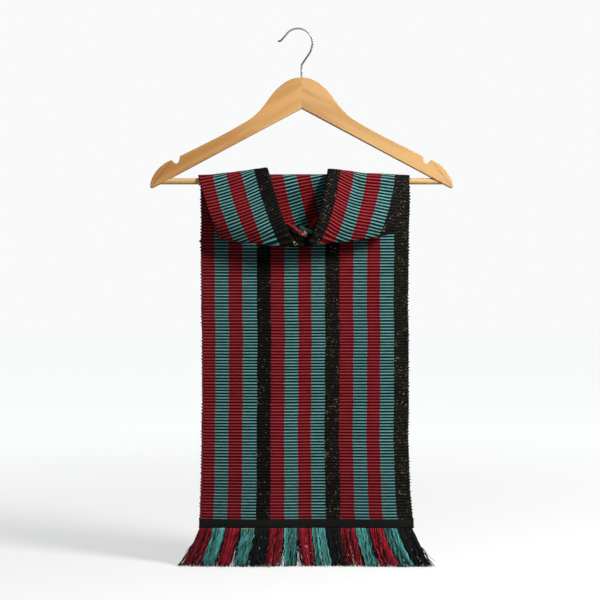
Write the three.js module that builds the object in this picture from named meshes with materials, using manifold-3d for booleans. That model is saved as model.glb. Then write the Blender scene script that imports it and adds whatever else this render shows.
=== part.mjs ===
// A ribbed, striped, fringed scarf folded in half and hung over the round bar of a flat wooden
// hanger.  Millimetres.  The origin is where the hook is held: the inner top of its arc.
// +X is to the right of the front view, +Z is up and the front faces -Y.
import * as THREE from 'three';
import { mergeVertices } from 'three/addons/utils/BufferGeometryUtils.js';
import Module from 'manifold-3d';

const wasm = await Module();
wasm.setup();

const seam = 0.3; // gap between neighbouring pieces

const wireRadius = 1.35; // steel hook
const arcRadius = 21.4;
const stemX = 5.2; // the stem, and the middle of the hanger, stand this far right of the arc top
const stemFoot = -86;

const woodThick = 13;
const woodRound = 1.6; // rounding of the hanger's edges
const barRadius = 4.7;
const barZ = -224.2;
const barHalf = 216; // half the bar's length, its ends sunk in the arms

const plainHalf = 0.65; // half the cloth's plain thickness
const ribHeight = 0.95; // ribs stand this far above the plain cloth
const ribPitch = 4.5;

const tailTop = -230;
const tailFoot = -722.4; // where the ribs end and the header band begins
const headerDrop = 12; // depth of the plain header band
const frontDepth = 7.4; // Y of the front tail behind the bar
const backDepth = 11.9; // Y of the back tail
const backingDrop = 2.4; // strip that the fringe hangs from
const fringeFoot = -793;

// The upper edge and end of one wooden arm: distance out from the middle and height.
const armUpper = [
  { out: 0, z: -71.9 }, { out: 10, z: -72.6 }, { out: 20.8, z: -76.9 }, { out: 35, z: -87.5 },
  { out: 44.5, z: -98.2 }, { out: 53.3, z: -110.4 }, { out: 63.2, z: -122.2 }, { out: 75, z: -132.4 },
  { out: 89.5, z: -141.2 }, { out: 114, z: -155 }, { out: 140.1, z: -168.2 }, { out: 165, z: -180.6 },
  { out: 180.6, z: -188.2 },
];
const armNotch = [
  { out: 180.6, z: -188.2 }, { out: 182.6, z: -192.6 }, { out: 186.4, z: -195.8 },
  { out: 190, z: -193.6 }, { out: 192.3, z: -191.8 },
];
const armEnd = [
  { out: 192.3, z: -191.8 }, { out: 200.5, z: -196.8 }, { out: 209, z: -203.2 }, { out: 216, z: -211.3 },
  { out: 221.2, z: -220.8 }, { out: 223.6, z: -229.6 }, { out: 222.6, z: -233.6 }, { out: 218.8, z: -233 },
];
const armApex = { out: 0, z: -117 }; // where the two straight lower edges meet

// Left and right edges of a tail, from behind the bar down to the header band.
const tailEdges = [
  { z: -222, left: -144.5, right: 165 },
  { z: -400, left: -142.7, right: 163 },
  { z: -518, left: -141.4, right: 163 },
  { z: -606, left: -142, right: 163.2 },
  { z: -680, left: -143.6, right: 165.8 },
  { z: -723, left: -145.5, right: 169.7 },
  { z: -740, left: -146, right: 170.2 },
];
const tailWaves = 1.6; // soft waves across a tail, and how deep they are above and below
const waveAbove = 0.5;
const waveBelow = 3;

// Lines along the cowl where two stripes meet: X and Z on the bar, half way down and at the foot,
// and how far the line stands forward of the bar on its crest and low down.
const leftFlapLines = [
  { top: [-147.3, -214.6], mid: [-133.8, -262.2], low: [-115.5, -309], toe: 0, crest: 8.8, belly: 25 },
  { top: [-126.5, -213.4], mid: [-113.3, -264.4], low: [-94, -313.2], toe: 0, crest: 9.5, belly: 30 },
  { top: [-106.3, -211.3], mid: [-91.5, -266.6], low: [-71.2, -316], toe: 0, crest: 10.4, belly: 34 },
  { top: [-85.2, -208.8], mid: [-69, -266.6], low: [-50.8, -317.8], toe: 0, crest: 11.6, belly: 37 },
  { top: [-66, -206], mid: [-48.9, -266.6], low: [-28.6, -320.6], toe: 1.8, crest: 13, belly: 39 },
  { top: [-47.2, -203.2], mid: [-28.2, -267], low: [-7.8, -322.4], toe: 6, crest: 14.5, belly: 39 },
];
const rightFlapLines = [
  { top: [46, -205.2], mid: [36.6, -261], low: [20, -319.8], toe: -5, crest: 16, belly: 39 },
  { top: [61.6, -206.6], mid: [52, -261.6], low: [34.2, -318.2], toe: -4.6, crest: 14, belly: 38 },
  { top: [82.5, -209.4], mid: [71.4, -262.6], low: [55, -315.2], toe: -1.4, crest: 12, belly: 37 },
  { top: [101.2, -211.7], mid: [90.8, -262.6], low: [75, -313.6], toe: 0, crest: 10.6, belly: 35 },
  { top: [123.3, -212.6], mid: [112.8, -262.6], low: [96.6, -310], toe: 0, crest: 10, belly: 32 },
  { top: [142.5, -213.8], mid: [133.1, -262.6], low: [117.5, -306.6], toe: 0, crest: 9.4, belly: 28 },
  { top: [164.6, -214.8], mid: [157.6, -260], low: [140.2, -301.6], toe: 0, crest: 8.8, belly: 24 },
];
const middleLines = [
  { top: [-46.4, -213.8], mid: [-39, -252.2], low: [-24, -292], toe: 0, crest: 8.8, belly: 16 },
  { top: [-22.7, -213.8], mid: [-14.4, -252.2], low: [-3.4, -293], toe: 0, crest: 8.6, belly: 12.5 },
  { top: [-4.1, -213.6], mid: [4.6, -251.2], low: [15, -292], toe: 0, crest: 8.4, belly: 10 },
  { top: [16.8, -213.6], mid: [25.6, -249], low: [34.2, -286], toe: 0, crest: 8.4, belly: 9.4 },
  { top: [37.2, -213.6], mid: [46.5, -247], low: [52, -280], toe: 0, crest: 8.4, belly: 9.4 },
  { top: [44.8, -213.8], mid: [54, -246], low: [60, -278], toe: 0, crest: 8.4, belly: 9.4 },
];
const middleLead = 12; // the middle's ribs stand this much lower at its left edge
const cowlBackZ = -229.7; // where the cowl's cloth meets the back tail
const cowlInside = 12; // the cloth goes back up inside the cowl this far forward of the bar
const toeStart = 0.7; // how far down a line its toe begins, where it swings aside
const rollBack = 6; // at the foot the cloth has already rolled back by this much
const cowlReturn = [{ share: 0.5, rise: 1.6 }, { share: 0.86, rise: 6 }, { share: 1, rise: 14 }];

// The bunched cloth at the foot of the V: its width and depth from the top down.
const gatherRows = [
  { z: -292.4, left: -18, right: 29, y: -12.6, wave: 1.2 },
  { z: -300, left: -15, right: 26, y: -17.5, wave: 2 },
  { z: -308, left: -11, right: 21, y: -23.5, wave: 2 },
  { z: -315, left: -4.5, right: 14.5, y: -27.6, wave: 1.3 },
  { z: -320, left: 0.5, right: 11, y: -29.6, wave: 0.7 },
];
const gatherPleats = 3.5;

// Where the threads of each of the fifteen stripes end: X at the foot of the fringe.
const stripeEnds = [
  { left: -174, right: -145 }, { left: -141, right: -125 }, { left: -120, right: -104 },
  { left: -93, right: -76 }, { left: -74, right: -52 }, { left: -50, right: -30 },
  { left: -21, right: -3 }, { left: 7, right: 25 }, { left: 26, right: 51 }, { left: 53, right: 72 },
  { left: 70, right: 98 }, { left: 101, right: 120 }, { left: 123, right: 150 },
  { left: 150, right: 173 }, { left: 174, right: 197 },
];
const locksPerStripe = 4;
const lockHalf = { x: 2.2, y: 1.25 };

const looks = {
  steel: { color: 0xb9bcc0, roughness: 0.25, metalness: 1 },
  wood: { color: 0xdcb27c, roughness: 0.5, metalness: 0 },
  paleWood: { color: 0xe2c49a, roughness: 0.55, metalness: 0 },
  red: { color: 0x7a1a20, roughness: 0.85, metalness: 0 },
  teal: { color: 0x3c7674, roughness: 0.85, metalness: 0 },
  black: { color: 0x1c1b1a, roughness: 0.9, metalness: 0 },
};

const group = new THREE.Group();

function add(name, geometry, look) {
  const plain = geometry.clone();
  plain.deleteAttribute('normal');
  plain.deleteAttribute('uv');
  const mesh = new THREE.Mesh(mergeVertices(plain, 1e-4), new THREE.MeshStandardMaterial(looks[look]));
  mesh.geometry.computeVertexNormals();
  mesh.name = name;
  group.add(mesh);
}

function toSolid(geometry) {
  const plain = geometry.clone();
  plain.deleteAttribute('normal');
  plain.deleteAttribute('uv');
  const merged = mergeVertices(plain, 1e-4);
  return new wasm.Manifold(new wasm.Mesh({
    numProp: 3,
    vertProperties: new Float32Array(merged.attributes.position.array),
    triVerts: new Uint32Array(merged.index.array),
  }));
}

function fromSolid(solid) {
  const mesh = solid.getMesh();
  const geometry = new THREE.BufferGeometry();
  geometry.setAttribute('position', new THREE.BufferAttribute(new Float32Array(mesh.vertProperties), 3));
  geometry.setIndex(new THREE.BufferAttribute(new Uint32Array(mesh.triVerts), 1));
  return geometry;
}

function tube(curve, radius, steps, sides) {
  const round = new THREE.Shape();
  round.absarc(0, 0, radius, 0, 2 * Math.PI, false);
  return new THREE.ExtrudeGeometry(round, { steps, extrudePath: curve, curveSegments: sides });
}

// The wire from its tip round the arc and down the stem.
function hookCurve() {
  const centreZ = wireRadius - arcRadius;
  const points = [new THREE.Vector3(-28.4, 0, -17.4), new THREE.Vector3(-24.6, 0, -14.4)];
  for (let degrees = 155; degrees >= -15; degrees -= 17) {
    const angle = THREE.MathUtils.degToRad(degrees);
    points.push(new THREE.Vector3(arcRadius * Math.cos(angle), 0, centreZ + arcRadius * Math.sin(angle)));
  }
  points.push(new THREE.Vector3(14.6, 0, -38.8), new THREE.Vector3(8.2, 0, -47.6));
  for (const z of [-54.5, -66, stemFoot]) points.push(new THREE.Vector3(stemX, 0, z));
  return new THREE.CatmullRomCurve3(points, false, 'centripetal');
}
const wire = hookCurve();
const tip = new THREE.SphereGeometry(wireRadius, 10, 8);
tip.translate(...wire.getPoint(0).toArray());
add('hook', fromSolid(toSolid(tube(wire, wireRadius, 40, 4)).add(toSolid(tip))), 'steel');

// Both arms in one, before they are parted at the mitre.
function hangerWood() {
  const at = (side) => (row) => new THREE.Vector2(stemX + side * row.out, row.z);
  const shape = new THREE.Shape();
  shape.moveTo(stemX, armUpper[0].z);
  for (const part of [armUpper, armNotch, armEnd]) shape.splineThru(part.slice(1).map(at(1)));
  shape.lineTo(stemX, armApex.z);
  const back = (rows) => rows.slice(0, -1).reverse().map(at(-1));
  const foot = armEnd[armEnd.length - 1];
  shape.lineTo(stemX - foot.out, foot.z);
  for (const part of [armEnd, armNotch, armUpper]) shape.splineThru(back(part));
  const wood = new THREE.ExtrudeGeometry(shape, {
    depth: woodThick - 2 * woodRound, bevelThickness: woodRound, bevelSize: woodRound,
    bevelOffset: -woodRound, bevelSegments: 2, curveSegments: 1,
  });
  wood.translate(0, 0, woodRound - woodThick / 2);
  wood.rotateX(Math.PI / 2);
  return toSolid(wood);
}

function alongX(radius, length, sides) {
  const rod = new THREE.CylinderGeometry(radius, radius, length, sides);
  rod.rotateZ(Math.PI / 2);
  rod.translate(stemX, 0, barZ);
  return rod;
}

const stemBore = new THREE.CylinderGeometry(wireRadius + seam, wireRadius + seam, 40, 12);
stemBore.rotateX(Math.PI / 2);
stemBore.translate(stemX, 0, stemFoot - seam + 20);
const wood = hangerWood()
  .subtract(toSolid(alongX(barRadius + seam, 2 * (barHalf + seam), 24)))
  .subtract(toSolid(stemBore));
add('hanger_arm_left', fromSolid(wood.trimByPlane([-1, 0, 0], seam / 2 - stemX)), 'wood');
add('hanger_arm_right', fromSolid(wood.trimByPlane([1, 0, 0], seam / 2 + stemX)), 'wood');
add('hanger_bar', alongX(barRadius, 2 * barHalf, 24), 'paleWood');

// One wall of cloth.  lines are curves along the cloth, one for each column.  The rows are stations
// along them: { at: distance or share of the line, rib: 0..1, plain: true where the plain side has
// a row too }.  The ribs are raised on the left of the lines' direction, seen from the columns' side.
function clothWall(lines, rows, place, halfAt) {
  const grid = rows.map((row) => lines.map((line, column) => place(line, row, column)));
  const last = { row: rows.length - 1, column: lines.length - 1 };
  const normalAt = (i, j) => {
    const across = grid[i][Math.min(j + 1, last.column)].clone().sub(grid[i][Math.max(j - 1, 0)]);
    const along = grid[Math.min(i + 1, last.row)][j].clone().sub(grid[Math.max(i - 1, 0)][j]);
    return across.cross(along).normalize();
  };
  const points = [];
  const push = (point) => points.push(point.x, point.y, point.z) / 3 - 1;
  const face = grid.map((line, i) => line.map((point, j) => (
    push(point.clone().addScaledVector(normalAt(i, j), plainHalf + ribHeight * rows[i].rib)))));
  const plainRows = rows.map((row, i) => i).filter((i) => rows[i].plain);
  const plain = plainRows.map((i) => grid[i].map((point, j) => (
    push(point.clone().addScaledVector(normalAt(i, j), -halfAt(j, i / last.row))))));
  const faces = [];
  const quad = (a, b, c, d) => faces.push(a, b, c, a, c, d);
  for (let i = 0; i < last.row; i += 1) {
    for (let j = 0; j < last.column; j += 1) {
      quad(face[i][j], face[i][j + 1], face[i + 1][j + 1], face[i + 1][j]);
    }
  }
  for (let k = 0; k < plain.length - 1; k += 1) {
    for (let j = 0; j < last.column; j += 1) {
      quad(plain[k][j], plain[k + 1][j], plain[k + 1][j + 1], plain[k][j + 1]);
    }
  }
  const foot = plain.length - 1;
  for (let j = 0; j < last.column; j += 1) {
    quad(face[0][j + 1], face[0][j], plain[0][j], plain[0][j + 1]);
    quad(face[last.row][j], face[last.row][j + 1], plain[foot][j + 1], plain[foot][j]);
  }
  for (const j of [0, last.column]) {
    let [i, k] = [0, 0];
    while (i < last.row || k < foot) {
      const stepFace = k === foot || (i < last.row && i + 1 <= plainRows[k + 1]);
      const side = stepFace ? [face[i][j], face[i + 1][j], plain[k][j]]
        : [plain[k + 1][j], plain[k][j], face[i][j]];
      faces.push(...(j === 0 ? side : side.reverse()));
      if (stepFace) i += 1;
      else k += 1;
    }
  }
  const geometry = new THREE.BufferGeometry();
  geometry.setAttribute('position', new THREE.Float32BufferAttribute(points, 3));
  geometry.setIndex(faces);
  return geometry;
}

const byShare = (line, row) => line.getPointAt(Math.min(row.at, 1));
const evenHalf = () => plainHalf;

// Ribbed rows over a length: a valley and a ridge for each rib, and a plain row every few ribs.
function ribRows(length, plainEvery) {
  const ribs = Math.round(length / ribPitch);
  const rows = [];
  for (let i = 0; i <= 2 * ribs; i += 1) {
    rows.push({ at: i / (2 * ribs), rib: i % 2, plain: i % (2 * plainEvery) === 0 || i === 2 * ribs });
  }
  return rows;
}

function plainRows(count) {
  return Array.from({ length: count + 1 }, (_, i) => ({ at: i / count, rib: 0, plain: true }));
}

function between(rows, z, key) {
  const i = Math.max(1, rows.findIndex((row) => row.z <= z));
  const [above, below] = [rows[i - 1], rows[i]];
  return THREE.MathUtils.mapLinear(z, above.z, below.z, above[key], below[key]);
}

// A point of a tail: share across from its left edge, height, and the depth it hangs at.
function tailPoint(share, z, depth) {
  const x = THREE.MathUtils.lerp(between(tailEdges, z, 'left'), between(tailEdges, z, 'right'), share);
  const down = THREE.MathUtils.clamp((tailTop - z) / (tailTop - tailFoot), 0, 1);
  const deep = THREE.MathUtils.lerp(waveAbove, waveBelow, down * down);
  const wave = Math.sin(2 * Math.PI * (tailWaves * share + 0.15 + 0.2 * down));
  return new THREE.Vector3(x, depth + deep * wave, z);
}

function tailLines(depth, top, foot, columns, spread = 0) {
  const levels = 8;
  return Array.from({ length: columns + 1 }, (_, j) => {
    const share = THREE.MathUtils.mapLinear(j, 0, columns, -spread, 1 + spread);
    const points = Array.from({ length: levels + 1 }, (_level, k) => (
      tailPoint(share, THREE.MathUtils.lerp(top, foot, k / levels), depth)));
    const line = new THREE.CatmullRomCurve3(points, false, 'centripetal');
    line.arcLengthDivisions = 400;
    return line;
  });
}

const tailColumns = 5;
const headerTop = tailFoot - seam;
const headerFoot = headerTop - headerDrop;
const tails = [
  { side: 'front', depth: frontDepth, look: 'red' },
  { side: 'back', depth: backDepth, look: 'teal' },
];
const facing = (lines, side) => (side === 'front' ? lines.reverse() : lines);

for (const { side, depth, look } of tails) {
  const panel = facing(tailLines(depth, tailTop, tailFoot, tailColumns), side);
  add(`${side}_tail`, clothWall(panel, ribRows(tailTop - tailFoot, 8), byShare, evenHalf), look);
  const header = facing(tailLines(depth, headerTop, headerFoot, tailColumns, 0.002), side);
  const headerRows = [{ at: 0, rib: 0.4 }, { at: 0.12, rib: 1 }, { at: 0.88, rib: 1 }, { at: 1, rib: 0.4 }];
  for (const row of headerRows) row.plain = true;
  add(`${side}_header`, clothWall(header, headerRows, byShare, evenHalf), 'black');
}

function smooth(share) {
  return share * share * (3 - 2 * share);
}

// A line of the cowl over the bar: up from the back tail, over the crest, down the front along its
// three heights, round the foot and up inside to the lap.
function cowlLine(row, returns) {
  const quadratic = (low, mid, high, t) => (
    low * (1 - t) * (1 - 2 * t) + 4 * mid * t * (1 - t) + high * t * (2 * t - 1));
  const [topX, topZ] = row.top;
  const [midX, midZ] = row.mid;
  const [lowX, lowZ] = row.low;
  const front = (t) => new THREE.Vector3(
    quadratic(topX, midX, lowX, t) + row.toe * Math.max(0, (t - toeStart) / (1 - toeStart)) ** 2,
    (returns ? rollBack : 0) * Math.max(0, (t - 0.75) / 0.25) ** 2
      - THREE.MathUtils.lerp(row.crest, row.belly, smooth(Math.min(1, t * 1.25))),
    quadratic(topZ, midZ, lowZ + 2 * plainHalf, t),
  );
  const points = [
    new THREE.Vector3(topX, backDepth - 0.5, cowlBackZ),
    new THREE.Vector3(topX, THREE.MathUtils.lerp(backDepth, row.crest, 0.4), (cowlBackZ + topZ) / 2),
    new THREE.Vector3(topX, row.crest * 0.72, topZ - row.crest * 0.36),
    new THREE.Vector3(topX, 0, topZ - plainHalf - ribHeight),
    front(0.07).add(new THREE.Vector3(0, row.crest * 0.16, 0)),
  ];
  for (const t of [0.2, 0.4, 0.6, 0.8, 0.92, 1]) points.push(front(t));
  if (returns) {
    const foot = front(1);
    for (const { share, rise } of cowlReturn) {
      points.push(new THREE.Vector3(foot.x, THREE.MathUtils.lerp(foot.y, -cowlInside, share), foot.z + rise));
    }
  }
  const line = new THREE.CatmullRomCurve3(points, false, 'centripetal');
  line.arcLengthDivisions = 400;
  return line;
}

// A further line half way between each two, on a smooth curve through them all.
function addHalfway(rows) {
  const last = rows.length - 1;
  const halfway = (i, read) => {
    const before = i > 0 ? read(rows[i - 1]) : 2 * read(rows[0]) - read(rows[1]);
    const after = i + 2 <= last ? read(rows[i + 2]) : 2 * read(rows[last]) - read(rows[last - 1]);
    return (9 * (read(rows[i]) + read(rows[i + 1])) - before - after) / 16;
  };
  return rows.flatMap((row, i) => {
    if (i === last) return [row];
    const pair = (key) => [0, 1].map((k) => halfway(i, (line) => line[key][k]));
    return [row, {
      top: pair('top'), mid: pair('mid'), low: pair('low'), toe: halfway(i, (line) => line.toe),
      crest: halfway(i, (line) => line.crest), belly: halfway(i, (line) => line.belly),
    }];
  });
}

// Stations along the cowl for a mean length: ribs as far as hidden, then a few plain rows.  The
// plain side has a row at each rib where the cloth bends.
function cowlRows(lines, hidden) {
  const mean = lines.reduce((sum, line) => sum + line.getLength(), 0) / lines.length;
  const ribs = Math.round((mean - hidden) / ribPitch);
  const bendRows = 20;
  const rows = [];
  for (let i = 0; i <= 2 * ribs; i += 1) {
    const bends = i < bendRows || i > 2 * ribs - bendRows / 2;
    rows.push({ at: i * ribPitch / 2 / mean, rib: i % 2, plain: i % (bends ? 2 : 8) === 0 });
  }
  const last = rows[rows.length - 1].at;
  const extra = Math.max(1, Math.round(hidden / 8));
  for (let k = 1; k <= extra; k += 1) {
    rows.push({ at: THREE.MathUtils.lerp(last, 1, k / extra), rib: 0, plain: true });
  }
  rows.mean = mean;
  return rows;
}

// The ribs start at equal distances along every line, square to the stripes, and even out to the
// foot.  lead lets the ribs of the last column run ahead of those of the first.
function cowlPlace(rows, lead = 0) {
  return (line, row, column) => {
    const length = line.getLength();
    const even = THREE.MathUtils.smoothstep(row.at, 0.3, 1);
    const ahead = lead * column / (middleLines.length - 1) * Math.min(1, row.at * 6) * (1 - even);
    const distance = row.at * THREE.MathUtils.lerp(rows.mean, length, even) + ahead;
    return line.getPointAt(Math.min(1, distance / length));
  };
}

const foldExtra = 2.4; // how much thicker a flap is at its inner edge, where the cloth folds under

function addFlap(name, table, foldSide, look) {
  const lines = addHalfway(table).map((row) => cowlLine(row, true)).reverse();
  const last = lines.length - 1;
  const rows = cowlRows(lines, 22);
  const half = (j, down) => {
    const fromFold = foldSide === 'right' ? j : last - j;
    const folded = fromFold === 0 ? 0.35 : Math.max(0, 1 - (fromFold - 1) / 1.5);
    return plainHalf + foldExtra * folded * THREE.MathUtils.smoothstep(down, 0.25, 0.45);
  };
  add(name, clothWall(lines, rows, cowlPlace(rows), half), look);
}

addFlap('cowl_left_flap', leftFlapLines, 'right', 'red');
addFlap('cowl_right_flap', rightFlapLines, 'left', 'teal');

const middleCurves = middleLines.map((row) => cowlLine(row, false)).reverse();
const middleRows = cowlRows(middleCurves, 2);
add('cowl_middle', clothWall(middleCurves, middleRows, cowlPlace(middleRows, middleLead), evenHalf), 'teal');

// The gather: pleats that run down into the foot of the V.
const gatherColumns = 14;
const gatherLines = Array.from({ length: gatherColumns + 1 }, (_, j) => {
  const share = j / gatherColumns;
  const wave = Math.sin(2 * Math.PI * gatherPleats * share);
  return new THREE.CatmullRomCurve3(gatherRows.map((row) => new THREE.Vector3(
    THREE.MathUtils.lerp(row.right, row.left, share), row.y + row.wave * wave, row.z,
  )), false, 'centripetal');
});
add('cowl_gather', clothWall(gatherLines, plainRows(7), byShare, evenHalf), 'black');

// The lap round the bar, inside everything else, and down behind the cowl.
const lapTop = { left: -143, right: 162 };
const lapLow = { left: -108, right: 136, leftZ: -295, middleZ: -303, rightZ: -286.5 };
const lapColumns = 5;
const lapInside = 7.5; // how far forward of the bar the lap hangs at its foot
const lapRadius = barRadius + 2 * seam + plainHalf;
const lapRows = [0, 0.055, 0.085, 0.115, 0.145, 0.175, 0.205, 0.235, 0.265, 0.32, 0.5, 0.75, 1];
const lapLines = Array.from({ length: lapColumns + 1 }, (_, j) => {
  const share = 1 - j / lapColumns;
  const x = (down) => THREE.MathUtils.lerp(
    THREE.MathUtils.lerp(lapTop.left, lapTop.right, share),
    THREE.MathUtils.lerp(lapLow.left, lapLow.right, share), down * down);
  const lowZ = THREE.MathUtils.lerp(
    share < 0.5 ? lapLow.leftZ : lapLow.rightZ, lapLow.middleZ, 1 - Math.abs(2 * share - 1));
  const points = [];
  for (let degrees = 0; degrees <= 180; degrees += 22.5) {
    const angle = THREE.MathUtils.degToRad(degrees);
    points.push(new THREE.Vector3(x(0), lapRadius * Math.cos(angle), barZ + lapRadius * Math.sin(angle)));
  }
  points[0].z = tailTop + seam;
  for (const down of [0.15, 0.4, 0.7, 1]) {
    points.push(new THREE.Vector3(
      x(down), -THREE.MathUtils.lerp(lapRadius, lapInside, down), THREE.MathUtils.lerp(barZ, lowZ, down)));
  }
  return new THREE.CatmullRomCurve3(points, false, 'centripetal');
});
const lapStations = lapRows.map((at) => ({ at, rib: 0, plain: true }));
add('inner_lap', clothWall(lapLines, lapStations, byShare, evenHalf), 'black');

// A lock of threads with three sides, tapering from its root to its end.
function lock(root, middle, end, half) {
  const curve = new THREE.QuadraticBezierCurve3(root, middle, end);
  const rings = 2;
  const points = [];
  for (let i = 0; i <= rings; i += 1) {
    const centre = curve.getPoint(i / rings);
    const wide = half.x * (1 - 0.45 * i / rings);
    const deep = half.y * (1 - 0.45 * i / rings);
    for (const [sx, sy] of [[-1, 0.6], [0, -1.2], [1, 0.6]]) {
      points.push(centre.x + sx * wide, centre.y + sy * deep, centre.z);
    }
  }
  const faces = [0, 1, 2];
  for (let i = 0; i < rings; i += 1) {
    for (let s = 0; s < 3; s += 1) {
      const [a, b] = [3 * i + s, 3 * i + (s + 1) % 3];
      faces.push(a, b + 3, b, a, a + 3, b + 3);
    }
  }
  const foot = 3 * rings;
  faces.push(foot, foot + 2, foot + 1);
  const geometry = new THREE.BufferGeometry();
  geometry.setAttribute('position', new THREE.Float32BufferAttribute(points, 3));
  geometry.setIndex(faces);
  return geometry;
}

for (const { side, depth } of tails) {
  const backingTop = headerFoot - seam;
  const strip = facing(tailLines(depth, backingTop, backingTop - backingDrop, tailColumns), side);
  const thick = [{ at: 0, rib: 1, plain: true }, { at: 1, rib: 1, plain: true }];
  let fringe = toSolid(clothWall(strip, thick, byShare, () => plainHalf + ribHeight));
  const outward = side === 'front' ? -1 : 1;
  const locks = stripeEnds.length * locksPerStripe;
  for (let n = 0; n < locks; n += 1) {
    const stripe = stripeEnds[Math.floor(n / locksPerStripe)];
    const place = (n % locksPerStripe + 0.5) / locksPerStripe;
    const share = (n + 0.5) / locks;
    const root = tailPoint(share, backingTop - backingDrop / 2, depth);
    const splay = outward * (2.2 + 2 * Math.sin(2.4 * n));
    const end = new THREE.Vector3(
      THREE.MathUtils.lerp(stripe.left, stripe.right, place) + 0.8 * Math.sin(5.1 * n),
      root.y + splay,
      fringeFoot + 1.5 * (1 + Math.sin(3.7 * n)),
    );
    const middle = new THREE.Vector3(
      THREE.MathUtils.lerp(root.x, end.x, 0.25), root.y + outward * 0.8, (root.z + end.z) / 2);
    fringe = fringe.add(toSolid(lock(root, middle, end, lockHalf)));
  }
  add(`${side}_fringe`, fromSolid(fringe), 'red');
}

export default group;
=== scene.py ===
import math
import random

import bmesh
import bpy
import numpy as np
from mathutils import Matrix, Vector


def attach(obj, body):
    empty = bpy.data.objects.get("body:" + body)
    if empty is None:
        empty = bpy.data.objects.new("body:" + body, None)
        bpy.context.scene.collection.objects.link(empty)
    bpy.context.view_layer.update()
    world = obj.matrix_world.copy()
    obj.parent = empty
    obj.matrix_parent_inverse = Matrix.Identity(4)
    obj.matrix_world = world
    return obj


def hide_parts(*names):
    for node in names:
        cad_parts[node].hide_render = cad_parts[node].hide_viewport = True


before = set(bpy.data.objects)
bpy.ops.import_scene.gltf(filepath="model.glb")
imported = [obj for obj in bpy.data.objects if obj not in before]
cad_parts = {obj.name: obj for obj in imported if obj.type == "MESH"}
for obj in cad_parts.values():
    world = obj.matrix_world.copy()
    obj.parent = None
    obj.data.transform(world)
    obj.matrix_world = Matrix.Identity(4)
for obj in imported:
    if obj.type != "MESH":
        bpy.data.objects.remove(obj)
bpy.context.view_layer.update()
random.seed(711)
print("frame loaded")


class Wire:
    # a socket that can be used in plain arithmetic
    def __init__(self, shader, socket):
        self.shader, self.socket = shader, socket

    def __add__(self, other):
        return self.shader.maths("ADD", self, other)

    def __sub__(self, other):
        return self.shader.maths("SUBTRACT", self, other)

    def __mul__(self, other):
        return self.shader.maths("MULTIPLY", self, other)

    def __rsub__(self, other):
        return self.shader.maths("SUBTRACT", other, self)

    __radd__ = __add__
    __rmul__ = __mul__


class Shader:
    def __init__(self, name, fixed):
        self.material = bpy.data.materials.new(name)
        self.material.use_nodes = True
        self.tree = self.material.node_tree
        self.surface = self.tree.nodes["Principled BSDF"]
        for socket, value in fixed.items():
            self.surface.inputs[socket].default_value = value

    def node(self, kind, settings=None, sockets=None, out=0):
        made = self.tree.nodes.new(kind)
        for key, value in (settings or {}).items():
            if key == "stops":
                ramp = made.color_ramp
                while len(ramp.elements) < len(value):
                    ramp.elements.new(0.5)
                for element, (place, colour) in zip(ramp.elements, value):
                    element.position, element.color = place, (*colour, 1)
            elif key == "interpolation":
                made.color_ramp.interpolation = value
            else:
                setattr(made, key, value)
        for key, value in (sockets or {}).items():
            self.put(made.inputs[key], value)
        return Wire(self, made.outputs[out])

    def put(self, socket, value):
        if isinstance(value, Wire):
            self.tree.links.new(value.socket, socket)
        elif socket.type == "RGBA":
            socket.default_value = (*value, 1)
        else:
            socket.default_value = value

    def maths(self, operation, *values, clamp=False):
        return self.node("ShaderNodeMath", {"operation": operation, "use_clamp": clamp},
                         dict(enumerate(values)))

    def step(self, value, low, high):
        # 0 below low, 1 above high, smooth between them
        return self.node("ShaderNodeMapRange", {"interpolation_type": "SMOOTHSTEP"},
                         {"Value": value, "From Min": low, "From Max": high, "To Min": 0, "To Max": 1})

    def blend(self, factor, first, second):
        return self.node("ShaderNodeMix", {"data_type": "RGBA"}, {0: factor, 6: first, 7: second}, 2)

    def noise(self, place, scale, detail=2, rough=0.5):
        return self.node("ShaderNodeTexNoise", None,
                         {"Vector": place, "Scale": scale, "Detail": detail, "Roughness": rough})

    def feed(self, **inputs):
        for name, value in inputs.items():
            self.put(self.surface.inputs[name.replace("_", " ")], value)

    def bump(self, height, distance, strength=1.0):
        self.feed(Normal=self.node("ShaderNodeBump", None,
                                   {"Height": height, "Distance": distance, "Strength": strength}))


# the cloth, in millimetres as all sizes below
cloth = {
    "half": 0.65,          # half the plain thickness
    "rib": 0.95,           # how far a rib stands up
    "pitch": 4.5,          # from one rib to the next
    "rowsPerRib": 6,
    "seam": 0.3,
}

# the stripes from left to right: colour and width
stripes = [("red", 19.6), ("teal", 20.4), ("red", 20.4), ("teal", 21.1), ("black", 21.1),
           ("red", 20.2), ("teal", 19.6), ("red", 19.8), ("teal", 19.3), ("black", 22),
           ("red", 20.8), ("teal", 19.6), ("red", 19.8), ("teal", 19.8), ("black", 22.1)]
clothWidth = sum(width for _, width in stripes)
stripeEdges = np.concatenate([[0], np.cumsum([width for _, width in stripes])]) / clothWidth

# the crest colour is a painted highlight on each rib's top; the gap colour is partly the weave's dark picks
# and partly painted shade between the ribs
colours = {  # the crest of a rib, its sides, and the gap beside it
    "red": ((0.30, 0.042, 0.053), (0.195, 0.0075, 0.0130), (0.080, 0.0010, 0.0022)),
    "teal": ((0.175, 0.35, 0.345), (0.030, 0.150, 0.150), (0.0010, 0.021, 0.022)),
    "black": ((0.0105, 0.0097, 0.0080), (0.0062, 0.0060, 0.0050), (0.0034, 0.0033, 0.0030)),
    "gold": (0.62, 0.48, 0.30), "grain": (0.022, 0.0195, 0.0155),
    "selvedge": (0.012, 0.007, 0.007),
}

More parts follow.
